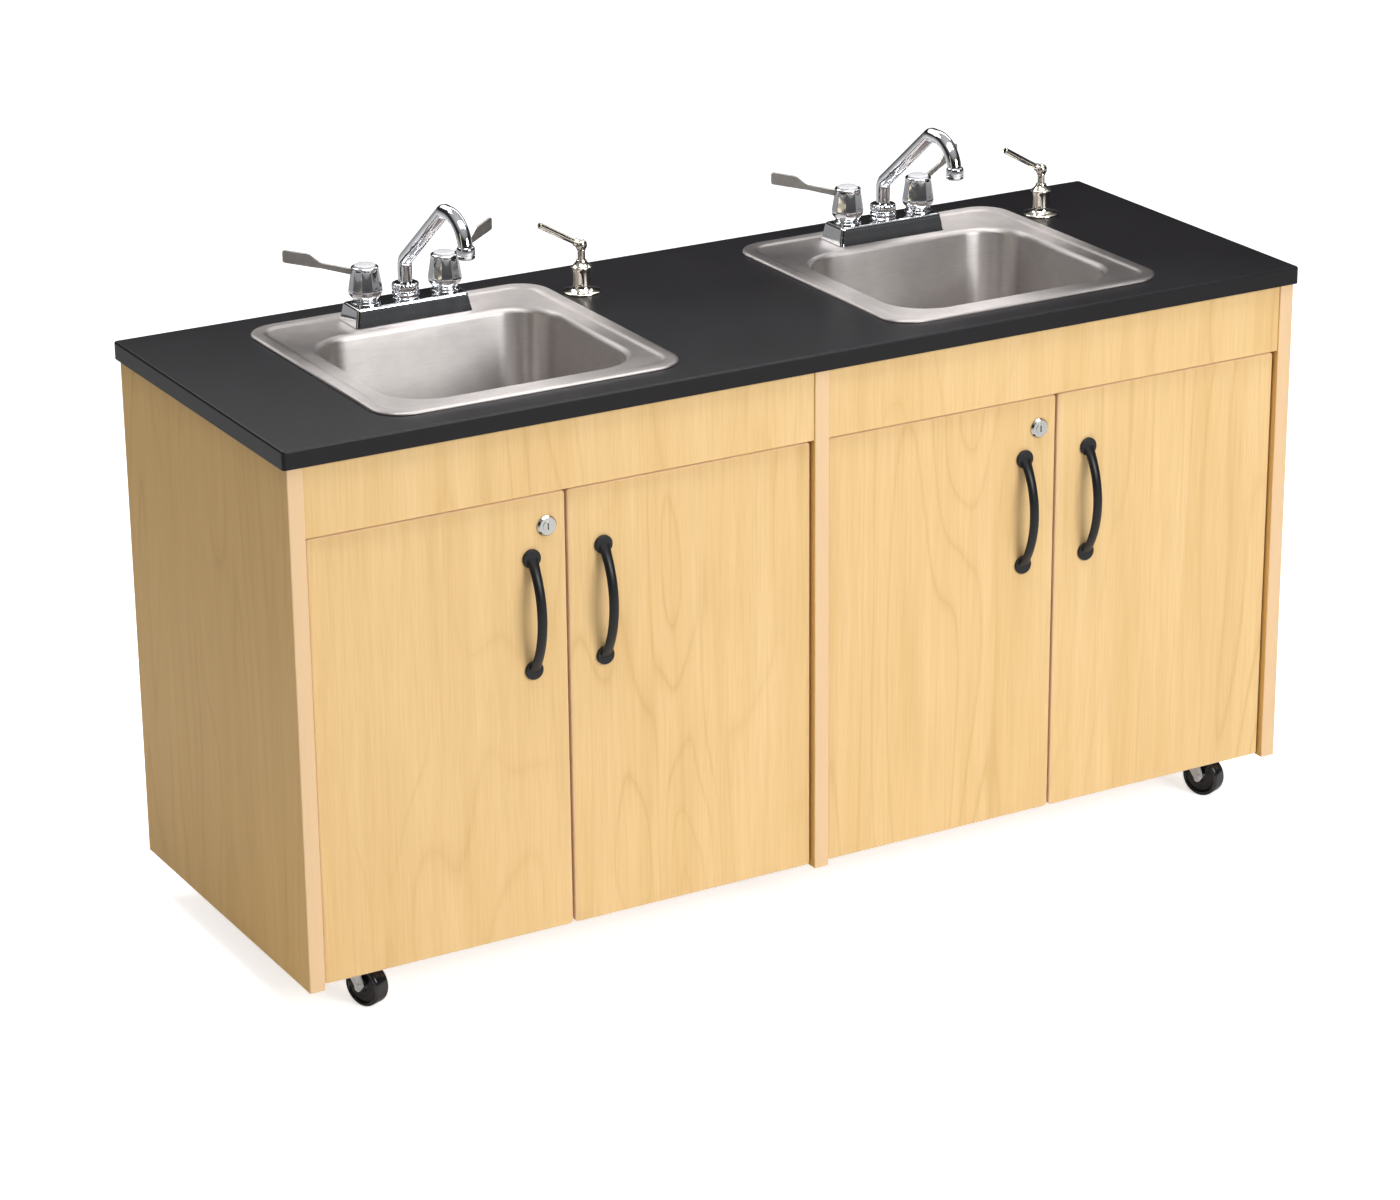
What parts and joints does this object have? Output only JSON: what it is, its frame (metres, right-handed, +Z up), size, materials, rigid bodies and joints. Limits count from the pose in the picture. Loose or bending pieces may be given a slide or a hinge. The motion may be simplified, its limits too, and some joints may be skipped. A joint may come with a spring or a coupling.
{
  "type": "portable handwash sink",
  "caption": "Rolling maple-finish cabinet with a black counter, drop-in stainless bowls, wrist-blade faucets, soap pumps and locking doors.",
  "frame": {"origin": "on the floor, under the middle of the outer box", "axes": "+X right along the counter, +Y from the doors to the back, +Z up"},
  "size_m": [1.334, 0.482, 0.8461],
  "materials": {
    "counter_laminate": "black high-pressure laminate, fine texture, satin",
    "maple_laminate": "pale maple woodgrain laminate, satin",
    "rail_wood": "plain raw wood",
    "stainless": "brushed satin",
    "faucet_chrome": "polished",
    "pump_nickel": "polished nickel",
    "lock_chrome": "polished",
    "pull_black": "black satin enamel",
    "hinge_steel": "nickel-plated steel",
    "screw_steel": "zinc-plated steel",
    "caster_zinc": "bright zinc plate",
    "wheel_black": "hard black tread, glossy",
    "tank_plastic": "natural polyethylene",
    "cap_plastic": "blue moulded plastic",
    "heater_enamel": "white enamel",
    "pump_housing": "dark grey satin",
    "tube_plastic": "flexible plumbing tube",
    "hose_grey": "corrugated hose",
    "bottle_plastic": "translucent polyethylene",
    "inlet_plastic": "black moulded plastic"
  },
  "bodies": {
    "cabinet": {"countertop": "counter_laminate", "side_panel_left": "maple_laminate", "side_panel_right": "maple_laminate", "center_divider": "maple_laminate", "bottom_panel_left": "maple_laminate", "bottom_panel_right": "maple_laminate", "back_panel": "maple_laminate", "apron_left": "maple_laminate", "apron_right": "maple_laminate", "top_rails": "rail_wood", "sink_left": "stainless", "sink_right": "stainless", "drain_strainers": "stainless", "drain_hoses": "hose_grey", "faucet_bodies": "faucet_chrome", "soap_pump_bases": "pump_nickel", "soap_bottles": "bottle_plastic", "water_tanks": "tank_plastic", "tank_caps": "cap_plastic", "water_heater": "heater_enamel", "supply_pump": "pump_housing", "supply_tubes": "tube_plastic", "hinge_arms": "hinge_steel", "caster_plates": "caster_zinc", "power_inlet": "inlet_plastic", "screws": "screw_steel"},
    "door_1": {"door_1": "maple_laminate", "pull_1": "pull_black", "hinge_cups_1": "hinge_steel", "lock_housing_left": "lock_chrome"},
    "door_2": {"door_2": "maple_laminate", "pull_2": "pull_black", "hinge_cups_2": "hinge_steel"},
    "door_3": {"door_3": "maple_laminate", "pull_3": "pull_black", "hinge_cups_3": "hinge_steel", "lock_housing_right": "lock_chrome"},
    "door_4": {"door_4": "maple_laminate", "pull_4": "pull_black", "hinge_cups_4": "hinge_steel"},
    "lock_left": {"lock_plug_left": "lock_chrome"},
    "lock_right": {"lock_plug_right": "lock_chrome"},
    "spout_left": {"spout_left": "faucet_chrome"},
    "handle_hot_left": {"handle_hot_left": "faucet_chrome"},
    "handle_cold_left": {"handle_cold_left": "faucet_chrome"},
    "pump_stem_left": {"pump_stem_left": "pump_nickel"},
    "pump_head_left": {"pump_head_left": "pump_nickel"},
    "spout_right": {"spout_right": "faucet_chrome"},
    "handle_hot_right": {"handle_hot_right": "faucet_chrome"},
    "handle_cold_right": {"handle_cold_right": "faucet_chrome"},
    "pump_stem_right": {"pump_stem_right": "pump_nickel"},
    "pump_head_right": {"pump_head_right": "pump_nickel"},
    "caster_front_left": {"caster_fork_front_left": "caster_zinc"},
    "wheel_front_left": {"caster_wheel_front_left": "wheel_black"},
    "caster_front_right": {"caster_fork_front_right": "caster_zinc"},
    "wheel_front_right": {"caster_wheel_front_right": "wheel_black"},
    "caster_back_left": {"caster_fork_back_left": "caster_zinc"},
    "wheel_back_left": {"caster_wheel_back_left": "wheel_black"},
    "caster_back_right": {"caster_fork_back_right": "caster_zinc"},
    "wheel_back_right": {"caster_wheel_back_right": "wheel_black"}
  },
  "joints": [
    {"name": "door_1_hinge", "type": "hinge", "parent": "cabinet", "child": "door_1", "pos_m": [-0.6265, -0.204, 0.3175], "axis": [0, 0, 1], "range_deg": [-100, 0]},
    {"name": "door_2_hinge", "type": "hinge", "parent": "cabinet", "child": "door_2", "pos_m": [-0.026, -0.204, 0.3175], "axis": [0, 0, 1], "range_deg": [0, 100]},
    {"name": "door_3_hinge", "type": "hinge", "parent": "cabinet", "child": "door_3", "pos_m": [0.026, -0.204, 0.3175], "axis": [0, 0, 1], "range_deg": [-100, 0]},
    {"name": "door_4_hinge", "type": "hinge", "parent": "cabinet", "child": "door_4", "pos_m": [0.6265, -0.204, 0.3175], "axis": [0, 0, 1], "range_deg": [0, 100]},
    {"name": "lock_left_turn", "type": "hinge", "parent": "door_1", "child": "lock_left", "pos_m": [-0.35125, -0.2, 0.543], "axis": [0, 1, 0], "range_deg": [0, 90]},
    {"name": "lock_right_turn", "type": "hinge", "parent": "door_3", "child": "lock_right", "pos_m": [0.30125, -0.2, 0.543], "axis": [0, 1, 0], "range_deg": [0, 90]},
    {"name": "spout_left_swing", "type": "hinge", "parent": "cabinet", "child": "spout_left", "pos_m": [-0.338, 0.153, 0.71], "axis": [0, 0, 1], "range_deg": [-90, 90]},
    {"name": "handle_hot_left_turn", "type": "hinge", "parent": "cabinet", "child": "handle_hot_left", "pos_m": [-0.389, 0.153, 0.72], "axis": [0, 0, 1], "range_deg": [0, 90]},
    {"name": "handle_cold_left_turn", "type": "hinge", "parent": "cabinet", "child": "handle_cold_left", "pos_m": [-0.287, 0.153, 0.72], "axis": [0, 0, 1], "range_deg": [-90, 0]},
    {"name": "pump_left_press", "type": "slide", "parent": "cabinet", "child": "pump_stem_left", "axis": [0, 0, -1], "range_m": [0, 0.0105], "stiffness_N_per_m": 200, "springref_m": -0.02},
    {"name": "pump_left_turn", "type": "hinge", "parent": "pump_stem_left", "child": "pump_head_left", "pos_m": [-0.1175, 0.133, 0.74], "axis": [0, 0, 1], "continuous": true},
    {"name": "spout_right_swing", "type": "hinge", "parent": "cabinet", "child": "spout_right", "pos_m": [0.314, 0.153, 0.71], "axis": [0, 0, 1], "range_deg": [-90, 90]},
    {"name": "handle_hot_right_turn", "type": "hinge", "parent": "cabinet", "child": "handle_hot_right", "pos_m": [0.263, 0.153, 0.72], "axis": [0, 0, 1], "range_deg": [0, 90]},
    {"name": "handle_cold_right_turn", "type": "hinge", "parent": "cabinet", "child": "handle_cold_right", "pos_m": [0.365, 0.153, 0.72], "axis": [0, 0, 1], "range_deg": [-90, 0]},
    {"name": "pump_right_press", "type": "slide", "parent": "cabinet", "child": "pump_stem_right", "axis": [0, 0, -1], "range_m": [0, 0.0105], "stiffness_N_per_m": 200, "springref_m": -0.02},
    {"name": "pump_right_turn", "type": "hinge", "parent": "pump_stem_right", "child": "pump_head_right", "pos_m": [0.5345, 0.133, 0.74], "axis": [0, 0, 1], "continuous": true},
    {"name": "caster_front_left_swivel", "type": "hinge", "parent": "cabinet", "child": "caster_front_left", "pos_m": [-0.58, -0.16, 0.056], "axis": [0, 0, 1], "continuous": true},
    {"name": "wheel_front_left_spin", "type": "hinge", "parent": "caster_front_left", "child": "wheel_front_left", "pos_m": [-0.57326, -0.17669, 0.025], "axis": [0.9272, 0.3746, 0], "continuous": true},
    {"name": "caster_front_right_swivel", "type": "hinge", "parent": "cabinet", "child": "caster_front_right", "pos_m": [0.58, -0.16, 0.056], "axis": [0, 0, 1], "continuous": true},
    {"name": "wheel_front_right_spin", "type": "hinge", "parent": "caster_front_right", "child": "wheel_front_right", "pos_m": [0.58674, -0.17669, 0.025], "axis": [0.9272, 0.3746, 0], "continuous": true},
    {"name": "caster_back_left_swivel", "type": "hinge", "parent": "cabinet", "child": "caster_back_left", "pos_m": [-0.58, 0.16, 0.056], "axis": [0, 0, 1], "continuous": true},
    {"name": "wheel_back_left_spin", "type": "hinge", "parent": "caster_back_left", "child": "wheel_back_left", "pos_m": [-0.57326, 0.14331, 0.025], "axis": [0.9272, 0.3746, 0], "continuous": true},
    {"name": "caster_back_right_swivel", "type": "hinge", "parent": "cabinet", "child": "caster_back_right", "pos_m": [0.58, 0.16, 0.056], "axis": [0, 0, 1], "continuous": true},
    {"name": "wheel_back_right_spin", "type": "hinge", "parent": "caster_back_right", "child": "wheel_back_right", "pos_m": [0.58674, 0.14331, 0.025], "axis": [0.9272, 0.3746, 0], "continuous": true}
  ]
}
